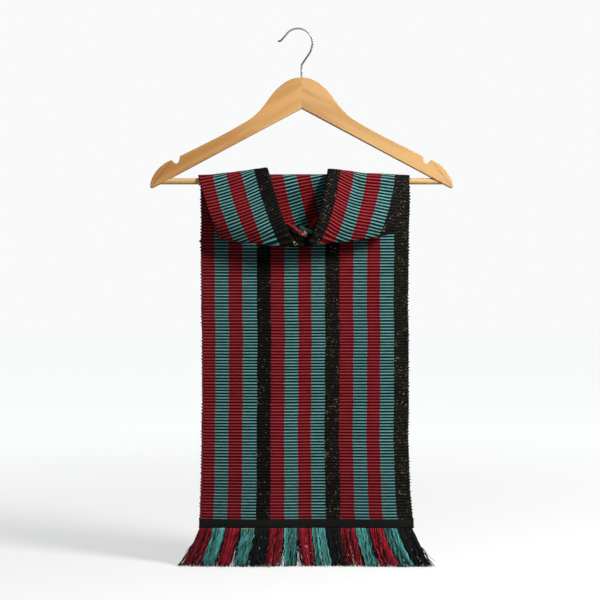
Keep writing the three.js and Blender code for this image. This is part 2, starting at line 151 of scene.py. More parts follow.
weaveLook = {  # scales are counts over the cloth's width and over one rib
    "strayEdge": 0.0022,                          # how far a stripe's edge strays from rib to rib
    "threads": (400, 0.8), "patches": (16, 0.4),  # fine warp threads and dye patches
    "threadTone": 0.7, "patchTone": 0.5, "ribTone": 0.22,
    "crestEdge": (0.62, 0.92),                    # where on a rib its crest's colour, a painted highlight, begins
    "shadeOver": 5, "shadeOnGaps": 0.25, "shadeOnCrests": 0.15,   # how a painted shade grows low on the middle: over so many ribs, and how far it darkens the gaps and the crests
    "fleckCells": 280, "fleckRows": 6, "fleckSlide": 7,    # the places that a gold fleck may take
    "fleckClouds": (26, 0.3), "fleckCloudEdge": (0.40, 0.66),
    "fleckLeft": 0.25, "fleckRightFrom": (0.2, 0.62),      # fewer flecks on the left
    "fleckLight": (0.09, 0.75), "fleckFade": 3.5,
    "grain": (330, 5.5), "grainEdge": (0.5, 0.78), "grainShows": 0.6,
    "selvedge": (0.002, 0.0062),                  # how wide the dark outer threads are
    "bumpDeep": 0.0004,
}


def stripeStops(which):
    # the black stripes turn a little browner towards the right, and are painted lighter there, a painted
    # light from the key light on that side
    stops = []
    for (name, _), edge in zip(stripes, stripeEdges[:-1]):
        # painted light: each black stripe is lifted more the further right it lies
        lift = 0.8 + 0.9 * edge if name == "black" else 1
        stops.append((edge, tuple(lift * part for part in colours[name][which])))
    return stops


def weaveShader(name, fleckShare=0.045, gapEdge=(0.34, 0.68), paintedShadeFrom=None):
    # striped rib weave: across is the share of the width, along counts the ribs
    shader = Shader(name, {"Roughness": 0.9, "Specular IOR Level": 0.05})
    uv = shader.node("ShaderNodeUVMap", {"uv_map": "weave"})
    apart = shader.node("ShaderNodeSeparateXYZ", None, {0: uv})
    across, along = apart, Wire(shader, apart.socket.node.outputs[1])
    rib = shader.maths("FLOOR", along)
    wobble = shader.node("ShaderNodeTexWhiteNoise", {"noise_dimensions": "1D"}, {"W": rib})
    placed = across + (wobble - 0.5) * weaveLook["strayEdge"]

    def ramp(stops):
        return shader.node("ShaderNodeValToRGB", {"stops": stops, "interpolation": "CONSTANT"},
                           {"Fac": placed})

    def cells(acrossScale, alongScale):
        return shader.node("ShaderNodeCombineXYZ", None, {0: across * acrossScale, 1: along * alongScale})

    # the crest colour is a painted highlight and the gap colour partly painted shade between the ribs
    crest, side, gap = (ramp(stripeStops(k)) for k in range(3))
    wave = 0.5 - shader.maths("COSINE", along * (2 * math.pi)) * 0.5
    # fine warp threads over each rib, and uneven dye
    thread = shader.noise(cells(*weaveLook["threads"]), 1.0, 1)
    patches = shader.noise(cells(*weaveLook["patches"]), 1.0, 2)
    tone = ((thread - 0.5) * weaveLook["threadTone"] + (patches - 0.5) * weaveLook["patchTone"]
            + (wobble - 0.5) * weaveLook["ribTone"])
    # past a given rib more of the dark gap colour and less of the crest colour show: a painted shade for
    # cloth that lies deep between the flaps
    paintedShade = shader.step(along, paintedShadeFrom, paintedShadeFrom + weaveLook["shadeOver"]) if paintedShadeFrom else 0.0
    ground = shader.blend(shader.step(wave - paintedShade * weaveLook["shadeOnGaps"], *gapEdge), gap, side)
    high = wave + (thread - 0.5) * 0.3 - paintedShade * weaveLook["shadeOnCrests"]
    colour = shader.blend(shader.step(high, *weaveLook["crestEdge"]), ground, crest)
    shade = shader.node("ShaderNodeHueSaturation", None, {"Color": colour, "Value": tone + 1})
    # gold threads that surface in the black stripes as short dashes, most of them dim
    isBlack = ramp([(edge, (1, 1, 1) if name == "black" else (0, 0, 0))
                    for (name, _), edge in zip(stripes, stripeEdges[:-1])])
    row = shader.maths("FLOOR", along * weaveLook["fleckRows"])
    slide = shader.node("ShaderNodeTexWhiteNoise", {"noise_dimensions": "1D"}, {"W": row})
    cell = shader.maths("FLOOR", across * weaveLook["fleckCells"] + slide * weaveLook["fleckSlide"])
    spot = shader.node("ShaderNodeCombineXYZ", None, {0: cell, 1: row})
    pick = shader.node("ShaderNodeTexWhiteNoise", {"noise_dimensions": "2D"}, {"Vector": spot})
    shine = shader.node("ShaderNodeTexWhiteNoise", {"noise_dimensions": "3D"}, {"Vector": spot})
    # the flecks come in loose clouds, more of them towards the right
    crowd = shader.noise(cells(*weaveLook["fleckClouds"]), 1.0, 2)
    least = weaveLook["fleckLeft"]
    often = shader.step(across, *weaveLook["fleckRightFrom"]) * (1 - least) + least
    start = 1 - often * fleckShare * (shader.step(crowd, *weaveLook["fleckCloudEdge"]) * 1.8 + 0.2)
    dim, most = weaveLook["fleckLight"]
    bright = shader.maths("POWER", shine, weaveLook["fleckFade"]) * most + dim
    fleck = shader.maths("GREATER_THAN", pick, start) * isBlack * bright
    # brownish grain between the black threads, more of it towards the right
    grain = shader.noise(cells(*weaveLook["grain"]), 1.0, 2, 0.7)
    grain = shader.step(grain, *weaveLook["grainEdge"]) * isBlack * often
    shade = shader.blend(grain * weaveLook["grainShows"], shade, colours["grain"])
    edge = 1 - shader.step(shader.maths("MINIMUM", across, 1 - across), *weaveLook["selvedge"])
    final = shader.blend(edge, shader.blend(fleck, shade, colours["gold"]), colours["selvedge"])
    shader.feed(Base_Color=final, Roughness=0.9 - fleck * 0.5)
    shader.bump(thread * 0.6 + wave * 0.4, weaveLook["bumpDeep"], 0.5)
    return shader.material


headerLook = {"across": 4200, "upward": 5200, "specks": 900, "lighter": 2.1, "bumpDeep": 0.0003}


def plainWeaveShader(name, colour):
    # close plain weave of the header bands
    shader = Shader(name, {"Roughness": 0.92, "Specular IOR Level": 0.12})
    place = shader.node("ShaderNodeTexCoord", out=3)
    apart = shader.node("ShaderNodeSeparateXYZ", None, {0: place})
    x, z = apart, Wire(shader, apart.socket.node.outputs[2])
    cords = shader.maths("SINE", z * headerLook["upward"]) * shader.maths("SINE", x * headerLook["across"])
    speck = shader.noise(place, headerLook["specks"], 2)
    light = tuple(headerLook["lighter"] * c for c in colour)
    shader.feed(Base_Color=shader.blend(shader.step(speck + cords * 0.15, 0.35, 0.8), colour, light))
    shader.bump(cords * 0.5 + speck, headerLook["bumpDeep"], 0.6)
    return shader.material


yarnLook = {  # noise scales, and how much each one changes the tone
    "drawnOut": 0.06, "threads": 700, "locks": 70, "twist": 1500,
    "ground": 0.25, "ownTone": 1.9, "threadTone": 0.6, "lockTone": 0.5, "twistTone": 0.8,
    "bumpDeep": 0.0002,
}


def yarnShader(name, colour):
    # loose spun threads, each a little darker or lighter, with a twist along them
    shader = Shader(name, {"Roughness": 0.75, "Specular IOR Level": 0.2})
    place = shader.node("ShaderNodeTexCoord", out=3)
    drawn = shader.node("ShaderNodeMapping", None, {"Vector": place, "Scale": (1, 1, yarnLook["drawnOut"])})
    threads = shader.noise(drawn, yarnLook["threads"], 2)
    locks = shader.noise(place, yarnLook["locks"], 2)
    twist = shader.noise(place, yarnLook["twist"], 1)
    own = shader.node("ShaderNodeAttribute", {"attribute_name": "tone"}, out=2)
    tone = yarnLook["ground"] + own * yarnLook["ownTone"] + (threads - 0.5) * yarnLook["threadTone"]
    tone = tone + (locks - 0.5) * yarnLook["lockTone"] + (twist - 0.5) * yarnLook["twistTone"]
    shader.feed(Base_Color=shader.node("ShaderNodeHueSaturation", None, {"Color": colour, "Value": tone}))
    shader.bump(twist, yarnLook["bumpDeep"], 0.6)
    return shader.material


woodLook = {
    "grain": (2.2, 26, 26), "grainScale": 2.2, "pores": (12, 420, 420), "ringCount": 26,
    "grainEdge": (0.3, 0.72), "grainTone": 0.6, "ringTone": 0.12, "poreTone": 0.16,
    "bumpDeep": 0.0001,
}


def woodShader(name, light, dark, slope, grain=1.0, shadeAndToneSlope=0.0):
    # straight grain along a piece that slopes by so many degrees
    # the last argument is how much the tone changes over a metre to the right: partly the wood's own tone,
    # partly painted light, lighter on the right where the key light falls
    shader = Shader(name, {"Roughness": 0.36, "Coat Weight": 0.25, "Coat Roughness": 0.22,
                           "Specular IOR Level": 0.45})
    place = shader.node("ShaderNodeTexCoord", out=3)
    turned = shader.node("ShaderNodeMapping", None,
                         {"Vector": place, "Rotation": (0, math.radians(slope), 0)})
    drawn = shader.node("ShaderNodeMapping", None, {"Vector": turned, "Scale": woodLook["grain"]})
    broad = shader.noise(drawn, woodLook["grainScale"] * grain, 4, 0.55)
    fine = shader.node("ShaderNodeMapping", None, {"Vector": turned, "Scale": woodLook["pores"]})
    pores = shader.noise(fine, 1.0, 2)
    rings = shader.maths("SINE", broad * woodLook["ringCount"]) * 0.5 + 0.5
    sideways = shader.node("ShaderNodeSeparateXYZ", None, {0: place})
    tone = shader.step(broad, *woodLook["grainEdge"]) * woodLook["grainTone"] + rings * woodLook["ringTone"]
    # partly painted light: the tone drifts along x, the arms lighter to the right and darker to the left
    tone = tone + (pores - 0.5) * woodLook["poreTone"] + sideways * shadeAndToneSlope
    shader.feed(Base_Color=shader.blend(shader.maths("ADD", tone, 0.0, clamp=True), light, dark),
                Roughness=0.33 + pores * 0.08)
    shader.bump(pores * 0.3 + broad * 0.7, woodLook["bumpDeep"], 0.12)
    return shader.material


# the stem's and the arc's colour, and between which heights in metres one turns into the other
wireLook = {"stem": (0.27, 0.27, 0.27), "arc": (0.68, 0.685, 0.69), "between": (-0.018, -0.002)}
steel = Shader("hook_steel", {"Metallic": 1})
wireSpot = steel.node("ShaderNodeTexCoord", out=3)
drawnMarks = steel.noise(steel.node("ShaderNodeMapping", None,
                                    {"Vector": wireSpot, "Scale": (900, 900, 60)}), 1.0, 2)
# the stem and the lower part of the arc are painted darker than the arc's top: a painted shade that holds
# down the key light's highlight on the upright wire
upward = steel.node("ShaderNodeSeparateXYZ", None, {"Vector": wireSpot}, 2)
paintedStemShade = steel.step(upward, *wireLook["between"])
steel.feed(Roughness=0.40 + drawnMarks * 0.1,
           Base_Color=steel.blend(paintedStemShade, wireLook["stem"], wireLook["arc"]))

looks = {
    "steel": steel.material,
    "armLeft": woodShader("wood_arm_left", (0.76, 0.43, 0.16), (0.50, 0.225, 0.060), 28, shadeAndToneSlope=-2.2),
    "armRight": woodShader("wood_arm_right", (0.74, 0.44, 0.18), (0.46, 0.215, 0.060), -28, shadeAndToneSlope=-1.8),
    "bar": woodShader("wood_bar", (0.80, 0.52, 0.245), (0.62, 0.35, 0.135), 0, 1.4),
    "weave": weaveShader("striped_weave"),
    "weaveTurned": weaveShader("striped_weave_turned", gapEdge=(0.38, 0.74)),
    "weaveShadedLow": weaveShader("striped_weave_shaded_low", paintedShadeFrom=67),   # its ribs are counted from 60; a painted shade darkens it low down, deep between the flaps
    "weaveInner": weaveShader("striped_weave_inner", 0, (0.1, 0.5)),
    "header": plainWeaveShader("header_weave", (0.0075, 0.0074, 0.0072)),
    "yarnRed": yarnShader("yarn_red", (0.26, 0.012, 0.024)),
    "yarnTeal": yarnShader("yarn_teal", (0.075, 0.30, 0.285)),
    "yarnBlack": yarnShader("yarn_black", (0.009, 0.009, 0.0092)),
    "yarnGold": yarnShader("yarn_gold", (0.50, 0.33, 0.12)),
    "yarnPale": yarnShader("yarn_pale", (0.46, 0.27, 0.28)),
}
print("materials made")


def smoothPath(keys, perSpan=16):
    # a centripetal curve through the keys, as many even steps between each two
    keys = np.asarray(keys, float)
    ends = np.vstack([2 * keys[0] - keys[1], keys, 2 * keys[-1] - keys[-2]])
    gaps = np.linalg.norm(np.diff(ends, axis=0), axis=1) ** 0.5
    t = np.linspace(0, 1, perSpan, endpoint=False)[:, None]
    parts = []
    for i in range(1, len(ends) - 2):
        a, b, c, d = ends[i - 1:i + 3]
        before, here, after = gaps[i - 1:i + 2]
        leave = ((b - a) / before - (c - a) / (before + here) + (c - b) / here) * here
        arrive = ((c - b) / here - (d - b) / (here + after) + (d - c) / after) * here
        parts.append(b + leave * t + (3 * (c - b) - 2 * leave - arrive) * t ** 2
                     + (2 * (b - c) + leave + arrive) * t ** 3)
    return np.vstack(parts + [keys[-1:]])


def pathLength(path):
    return np.concatenate([[0], np.cumsum(np.linalg.norm(np.diff(path, axis=0), axis=1))])


def pointsAlong(path, distances):
    steps = pathLength(path)
    return np.stack([np.interp(distances, steps, path[:, k]) for k in range(3)], axis=1)


def ease(value, low, high):
    t = np.clip((np.asarray(value, float) - low) / (high - low), 0, 1)
    return t * t * (3 - 2 * t)


def gridNormals(points):
    across = np.gradient(points, axis=1)
    along = np.gradient(points, axis=0)
    normals = np.cross(across, along)
    return normals / np.maximum(np.linalg.norm(normals, axis=2, keepdims=True), 1e-9)


def ribHeight(ribs):
    return (0.5 - 0.5 * np.cos(2 * np.pi * ribs)) ** 0.8


def wander(values, seed, sizes=(1.0, 0.5, 0.25)):
    # a smooth uneven line between about -1 and 1
    values = np.asarray(values, float)
    waves = (size * np.sin(values * (0.9 + 1.7 * k) + seed * (k + 1.3)) for k, size in enumerate(sizes))
    return sum(waves) / sum(sizes)


def layGrid(name, points, shares, ribs, thickness, lookKey):
    # a grid of cloth through the points, in millimetres, with the weave's map and a wall behind it
    rows, columns = points.shape[:2]
    sheet = bmesh.new()
    bmesh.ops.create_grid(sheet, x_segments=columns - 1, y_segments=rows - 1, size=1)
    for vert, place in zip(sheet.verts, points.reshape(-1, 3) / 1000):
        vert.co = place
    weave = sheet.loops.layers.uv.new("weave")
    for face in sheet.faces:
        face.smooth = True
        for loop in face.loops:
            row, column = divmod(loop.vert.index, columns)
            loop[weave].uv = (shares[column], ribs[row])
    mesh = bpy.data.meshes.new(name)
    sheet.to_mesh(mesh)
    sheet.free()
    piece = bpy.data.objects.new(name, mesh)
    bpy.context.scene.collection.objects.link(piece)
    mesh.materials.append(looks[lookKey])
    wall = piece.modifiers.new("wall", "SOLIDIFY")
    wall.thickness = thickness / 1000
    wall.offset = -1
    return piece


def clothPiece(name, middle, shares, ribs, ribScale=1.0, lookKey="weave"):
    # the ribs are raised on the side that the columns and rows face
    height = (cloth["half"] + cloth["rib"] * ribScale * ribHeight(ribs))[:, None, None]
    points = middle + gridNormals(middle) * height
    return layGrid(name, points, shares, ribs, 2 * cloth["half"], lookKey)


def dress(piece, nodes):
    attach(piece, "root")
    if nodes:
        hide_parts(*nodes)
    return piece


tail = {
    "top": -230, "foot": -723.9, "lastRib": 0.72,
    "headerDrop": 12.5, "headerThick": 2.4, "headerBulge": 1.3,
    "frontDepth": 7.4, "backDepth": 11.9,
    "waves": 1.6, "waveAbove": 0.5, "waveBelow": 3.0,
    "edgeWander": 0.7, "wanderLengths": (37, 41),   # how unevenly the left and right selvedge run
    "selvedge": 2.1,        # the loops of weft at the edges
    "snag": (-312, 1.7, 2.2),   # a loose loop at the left edge: height, reach and half height
    "drift": 0.9,           # how far the stripes lean to the left on each of two stretches
    "driftAt": ((455, 500), (680, 722)),
    "uneven": 0.10,         # how much the ribs' spacing varies, in ribs
    "sag": 0.5,             # how far a rib sags or lifts across the width
    "columns": 56, "headerColumns": 48,
}
tailEdges = {  # height: left and right edge
    -222: (-144.5, 165), -400: (-142.9, 163.3), -518: (-142.4, 163.4), -606: (-142.4, 163.4),
    -680: (-143.6, 166), -723: (-146, 170), -740: (-146.6, 170.6),
}


def tailX(shares, z, rough):
    heights = sorted(tailEdges)
    left, right = (np.interp(z, heights, [tailEdges[h][k] for h in heights]) for k in range(2))
    leftLength, rightLength = tail["wanderLengths"]
    left = left + rough * tail["edgeWander"] * wander(z / leftLength, 1)
    right = right + rough * tail["edgeWander"] * wander(z / rightLength, 5)
    upper, lower = tail["driftAt"]
    drift = tail["drift"] * (ease(-z, *upper) + ease(-z, *lower))
    leaning = drift[:, None] * np.sin(np.pi * shares) ** 0.5
    return left[:, None] * (1 - shares) + right[:, None] * shares - leaning


def tailGrid(shares, z, depth, rough=1.0):
    down = np.clip((tail["top"] - z) / (tail["top"] - tail["foot"]), 0, 1)
    deep = tail["waveAbove"] + (tail["waveBelow"] - tail["waveAbove"]) * down ** 2
    phase = 2 * np.pi * (tail["waves"] * shares[None, :] + 0.15 + 0.2 * down[:, None])
    y = depth + deep[:, None] * np.sin(phase)
    x = tailX(shares, z, rough)
    return np.stack([x, y, np.broadcast_to(z[:, None], x.shape)], axis=2)


def edgeShares(columns):
    # columns across the cloth, closer together at both edges
    inner = np.linspace(0.012, 0.988, columns)
    return np.concatenate([[0, 0.0018, 0.0045], inner, [0.9955, 0.9982, 1]])


def addSelvedge(points, ribs):
    # the weft turns round the outer warps and shows as a small loop at each rib
    whole = np.floor(ribs)
    left, right = (0.7 + 0.5 * np.sin(whole * step + whole ** 2 * 0.37) for step in (2.1, 3.7))
    loop = tail["selvedge"] * (ribHeight(ribs) - 0.35)
    snagZ, snagReach, snagHalf = tail["snag"]
    snag = snagReach * np.exp(-((points[:, 0, 2] - snagZ) / snagHalf) ** 2)
    for column in range(3):
        weight = 1 - column / 3
        points[:, column, 0] -= (loop * left + snag) * weight
        points[:, -1 - column, 0] += loop * right * weight
    return points


def makeTail(side):
    front = side == "front"
    ribCount = round((tail["top"] - tail["foot"]) / cloth["pitch"])
    # the last rib goes under the header before it has come down
    ribCount += tail["lastRib"]
    ribs = np.arange(ribCount * cloth["rowsPerRib"] + 0.5) / cloth["rowsPerRib"]
    inTheMiddle = np.sin(np.pi * ribs / ribCount)
    uneven = tail["uneven"] * wander(ribs * 0.8, 3) * inTheMiddle
    z = tail["top"] - (ribs + uneven) * (tail["top"] - tail["foot"]) / ribCount
    shares = edgeShares(tail["columns"])
    middle = addSelvedge(tailGrid(shares, z, tail[side + "Depth"]), ribs)
    sag = tail["sag"] * wander(shares * 6 + (0 if front else 2), 2)
    middle[:, :, 2] += sag[None, :] * inTheMiddle[:, None]
    if front:
        middle, ribs = middle[::-1], ribs[::-1]
    return clothPiece(side + "_tail_cloth", middle, shares, ribs + (0 if front else 140))


def makeHeader(side):
    front = side == "front"
    drop = np.array([0, 0.03, 0.08, 0.2, 0.4, 0.6, 0.8, 0.92, 0.97, 1.0])   # closer at both edges
    z = tail["foot"] - cloth["seam"] - drop * tail["headerDrop"]
    shares = edgeShares(tail["headerColumns"])
    middle = tailGrid(shares, z, tail[side + "Depth"])
    middle[:, :, 0] += (0.7 + 0.5 * wander(drop * 7, 6))[:, None] * (2 * shares - 1) ** 5
    middle[:, :, 2] += 0.35 * wander(shares * 14, 4)
    full = tail["headerBulge"] * (1 - np.abs(2 * drop - 1) ** 6)
    if front:
        middle, full = middle[::-1], full[::-1]
    points = middle + gridNormals(middle) * (cloth["half"] + full[:, None, None])
    return layGrid(side + "_header_band", points, shares, drop, tail["headerThick"], "header")


cowl = {  # the upper fold of the scarf, which falls forward over the bar
    "backZ": -229.7, "inside": 12, "rollBack": 6, "toeStart": 0.7,
    "return": [(0.5, 1.6), (0.86, 6), (1, 14)],   # share of the way in, rise
    "foldRadius": 1.7, "foldLap": 9,               # the turned-under inner edges
    "middleReturn": [(1.7, -1.7), (3.4, -1.5)],    # its rounded lower edge: back and down
    "hidden": 22,                                  # how much of a flap's length is out of sight
    # how much lower the ribs lie at the left edge than at the right, on the bar and at the foot
    "leftTilt": (7, 8), "middleTilt": (18, 30), "rightTilt": (3, -3),
    "flapPitch": 4.87, "middlePitch": 4.7,         # the ribs open up where the cloth turns over
    "leftColumns": 60, "rightColumns": 68, "middleColumns": 46,
    "swell": 0.7,                                  # the soft uneven swells of stiff cloth
    "bellyAt": 0.8, "rollFrom": 0.75, "footRise": 1.3,
    "foldStart": 0.18,                             # where along a flap its inner edge begins to turn under
    "foldRibs": (6, 13),                           # columns from the fold over which the ribs grow
}
lineKeys = ("share", "topX", "topZ", "midX", "midZ", "lowX", "lowZ", "crest", "belly", "toe")
leftFlapLines = [
    (stripeEdges[0], -147.3, -214.6, -133.8, -262.2, -115.5, -309, 8.8, 25, 0),
    (stripeEdges[1], -126.5, -213.4, -113.3, -264.4, -94, -313.2, 9.5, 30, 0),
    (stripeEdges[2], -106.3, -211.3, -91.5, -266.6, -71.2, -316, 10.4, 34, 0),
    (stripeEdges[3], -85.2, -208.8, -69, -266.6, -50.8, -317.8, 11.6, 37, 0),
    (stripeEdges[4], -66, -206, -48.9, -266.6, -28.6, -320.6, 13, 39, 1.8),
    (stripeEdges[5] - 0.005, -47.2, -203.2, -28.2, -267, -7.8, -322.4, 14.5, 39, 6),
]
rightFlapLines = [
    (0.608, 46, -205.2, 36.6, -261, 20, -319.8, 20.5, 43, -5),
    (stripeEdges[10], 61.6, -206.6, 52, -261.6, 34.2, -318.2, 16, 40.5, -4.6),
    (stripeEdges[11], 82.5, -209.4, 71.4, -262.6, 55, -315.2, 12, 37, -1.4),
    (stripeEdges[12], 101.2, -211.7, 90.8, -262.6, 75, -313.6, 10.6, 35, 0),
    (stripeEdges[13], 123.3, -212.6, 112.8, -262.6, 96.6, -310, 10, 32, 0),
    (stripeEdges[14], 142.5, -213.8, 133.1, -262.6, 117.5, -306.6, 9.4, 28, 0),
    (stripeEdges[15], 164.6, -214.8, 157.6, -260, 140.2, -301.6, 8.8, 24, 0),
]
middleLines = [
    (0.325, -46.4, -213.8, -39, -252.2, -24, -292, 12, 14, 0),
    (stripeEdges[6], -22.7, -213.8, -14.4, -252.2, -3.4, -293, 12, 9.6, 0),
    (stripeEdges[7], -4.1, -213.6, 4.6, -251.2, 15, -292, 11.6, 8, 0),
    (stripeEdges[8], 16.8, -213.6, 25.6, -249, 34.2, -286, 11, 7.8, 0),
    (stripeEdges[9], 37.2, -213.6, 46.5, -247, 52, -280, 11, 7.8, 0),
    (0.617, 44.8, -213.8, 54, -246, 60, -278, 11, 7.8, 0),
]


def cowlKeys(line, returns):
    # the places that one line of the cowl runs through, from the back tail over the bar to inside
    row = dict(zip(lineKeys, line))

    def front(t):
        x, z = ((row[low] * (1 - t) * (1 - 2 * t) + 4 * row[mid] * t * (1 - t) + high * t * (2 * t - 1))
                for low, mid, high in (("topX", "midX", row["lowX"]),
                                       ("topZ", "midZ", row["lowZ"] + cowl["footRise"])))
        forward = row["crest"] + (row["belly"] - row["crest"]) * float(ease(t / cowl["bellyAt"], 0, 1))
        rolledShare = max(0, (t - cowl["rollFrom"]) / (1 - cowl["rollFrom"])) ** 2
        rolled = cowl["rollBack"] * rolledShare if returns else 0
        toe = row["toe"] * max(0, (t - cowl["toeStart"]) / (1 - cowl["toeStart"])) ** 2
        return np.array([x + toe, rolled - forward, z])

    crest, topX, topZ = row["crest"], row["topX"], row["topZ"]
    keys = [(topX, tail["backDepth"] - 0.5, cowl["backZ"]),
            (topX, tail["backDepth"] * 0.6 + crest * 0.4, (cowl["backZ"] + topZ) / 2),
            (topX, crest * 0.72, topZ - crest * 0.36),
            (topX, 0, topZ - cloth["half"] - cloth["rib"]),
            front(0.07) + (0, crest * 0.16, 0)]
    keys += [front(t) for t in (0.2, 0.4, 0.6, 0.8, 0.92, 1)]
    foot = front(1)
    if returns:
        for share, rise in cowl["return"]:
            keys.append((foot[0], foot[1] * (1 - share) - cowl["inside"] * share, foot[2] + rise))
    else:
        keys += [foot + (0, back, down) for back, down in cowl["middleReturn"]]
    return keys


def throughLines(lines, places):
    # smooth columns between the lines
    table = np.array(lines, float)
    table = np.vstack([2 * table[0] - table[1], table, 2 * table[-1] - table[-2]])
    first = np.clip(np.floor(places).astype(int), 0, len(lines) - 2)
    t = (places - first)[:, None]
    a, b, c, d = (table[first + k] for k in range(4))
    return b + 0.5 * t * (c - a + t * (2 * a - 5 * b + 4 * c - d + t * (3 * (b - c) + d - a)))


def cowlGrid(lines, columns, returns, hidden, tilt, pitch):
    # the ribs lie square to the leaning stripes, and meet the ends of the lines out of sight
    rows = throughLines(lines, np.linspace(0, len(lines) - 1, columns))
    paths = [smoothPath(cowlKeys(row, returns)) for row in rows]
    lengths = np.array([pathLength(path)[-1] for path in paths])
    mean = float(np.mean(lengths))
    ribs = np.arange(int(mean / pitch * cloth["rowsPerRib"]) + 1) / cloth["rowsPerRib"]
    at = ribs * pitch / mean
    lift = tilt[0] * np.minimum(1, at * 6) + (tilt[1] - tilt[0]) * ease(at, 0.12, 0.7)
    end = ease(at, 0.82 if returns else 0.93, 1)
    grid = []
    for column, (path, length) in enumerate(zip(paths, lengths)):
        seen = at * mean + (0.5 - column / (columns - 1)) * lift
        grid.append(pointsAlong(path, np.clip(seen * (1 - end) + at * length * end, 0, length)))
    flat = np.where(ribs > (mean - hidden) / pitch + 1.5, 0.4, 1.0)
    return np.stack(grid, axis=1), rows[:, 0], ribs, flat


def foldUnder(points, shares, atEnd, start):
    # carry the cloth round a fold at its inner edge and back underneath
    normals = gridNormals(points)
    edge, inner = (-1, -4) if atEnd else (0, 3)
    outward = points[:, edge] - points[:, inner]
    outward /= np.linalg.norm(outward, axis=1, keepdims=True)
    facing = normals[:, edge]
    radius = cowl["foldRadius"]
    weight = ease(np.arange(len(points)) / len(points), start, start + 0.2)[:, None]
    extra = []
    for angle in np.linspace(0.25, 1, 5) * np.pi:
        extra.append(points[:, edge] + outward * radius * math.sin(angle)
                     + facing * radius * (1 - math.cos(angle)) * (0.35 + 0.65 * weight))
    for back in np.linspace(0.25, 1, 5) * cowl["foldLap"]:
        extra.append(extra[4] - outward * back * (0.45 + 0.55 * weight))
    extra = np.stack(extra, axis=1)
    share = shares[edge] + np.arange(1, extra.shape[1] + 1) * (-0.0015 if atEnd else 0.0015)
    if atEnd:
        return np.concatenate([points, extra], axis=1), np.concatenate([shares, share])
    return np.concatenate([extra[:, ::-1], points], axis=1), np.concatenate([share[::-1], shares])


def flapPiece(name, lines, columns, foldAtEnd, ribStart, tilt):
    points, shares, ribs, flat = cowlGrid(lines, columns, True, cowl["hidden"], tilt, cowl["flapPitch"])
    swell = cowl["swell"] * np.outer(wander(ribs / 5, 2), wander(shares * 21, ribStart))
    points = points + gridNormals(points) * swell[:, :, None] * ease(ribs, 4, 12)[:, None, None]
    points, shares = foldUnder(points, shares, foldAtEnd, cowl["foldStart"])
    # the ribs flatten out round the fold
    fromFold = np.arange(points.shape[1])
    fromFold = fromFold[::-1] if foldAtEnd else fromFold
    ribbed = 0.2 + 0.8 * ease(fromFold, *cowl["foldRibs"])
    points, ribs, flat = points[::-1], ribs[::-1], flat[::-1]
    height = cloth["half"] + cloth["rib"] * np.outer(flat * ribHeight(ribs), ribbed)
    face = points + gridNormals(points) * height[:, :, None]
    return layGrid(name, face, shares, ribs + ribStart, 2 * cloth["half"], "weaveTurned")


def middlePiece():
    points, shares, ribs, _ = cowlGrid(middleLines, cowl["middleColumns"], False, 0,
                                       cowl["middleTilt"], cowl["middlePitch"])
    return clothPiece("cowl_middle_cloth", points[::-1], shares, ribs[::-1] + 60, lookKey="weaveShadedLow")


lap = {  # the stretch that goes round the bar and backs the cowl
    "top": (-143, 162), "low": (-108, 136),
    "lowZ": (-295, -303, -286.5), "inside": 6,
    "barRadius": 4.7, "barZ": -224.2, "columns": 30,
    "ribs": 22, "rowsPerRib": 5,
}


def lapPiece():
    radius = lap["barRadius"] + 0.6 + cloth["half"]
    shares = np.linspace(0, 1, lap["columns"])
    paths = []
    for share in shares:
        top = lap["top"][0] * (1 - share) + lap["top"][1] * share
        low = lap["low"][0] * (1 - share) + lap["low"][1] * share
        lowZ = np.interp(share, [0, 0.5, 1], lap["lowZ"])
        keys = [(top, radius, tail["top"] + cloth["seam"])]
        for degrees in np.arange(0, 181, 22.5)[1:]:
            angle = math.radians(degrees)
            keys.append((top, radius * math.cos(angle), lap["barZ"] + radius * math.sin(angle)))
        for down in (0.15, 0.4, 0.7, 1):
            keys.append((top + (low - top) * down ** 2, -radius - (lap["inside"] - radius) * down,
                         lap["barZ"] + (lowZ - lap["barZ"]) * down))
        paths.append(smoothPath(keys, 10))
    ribs = np.arange(0, lap["ribs"] * lap["rowsPerRib"] + 1) / lap["rowsPerRib"]
    grid = np.stack([pointsAlong(path, ribs / ribs[-1] * pathLength(path)[-1]) for path in paths], axis=1)
    return clothPiece("inner_lap_cloth", grid[::-1], shares, ribs[::-1] + 20, ribScale=0.15)


gather = {  # the bunched cloth at the foot of the V
    "rows": [  # height, left, right, depth, pleat depth
        (-292.4, -18, 29, -12.6, 1.2), (-300, -15, 26, -17.5, 2), (-308, -11, 21, -23.5, 2),
        (-315, -4.5, 14.5, -27.6, 1.3), (-320, 0.5, 11, -29.6, 0.7),
    ],
    "pleats": 3.5, "smallPleats": 8.3, "columns": 70, "steps": 60, "ribs": 9,
    "pleatShare": 0.85, "smallShare": 0.3,
    "share": (0.272, 0.33),     # it is the black stripe that is bunched here
}
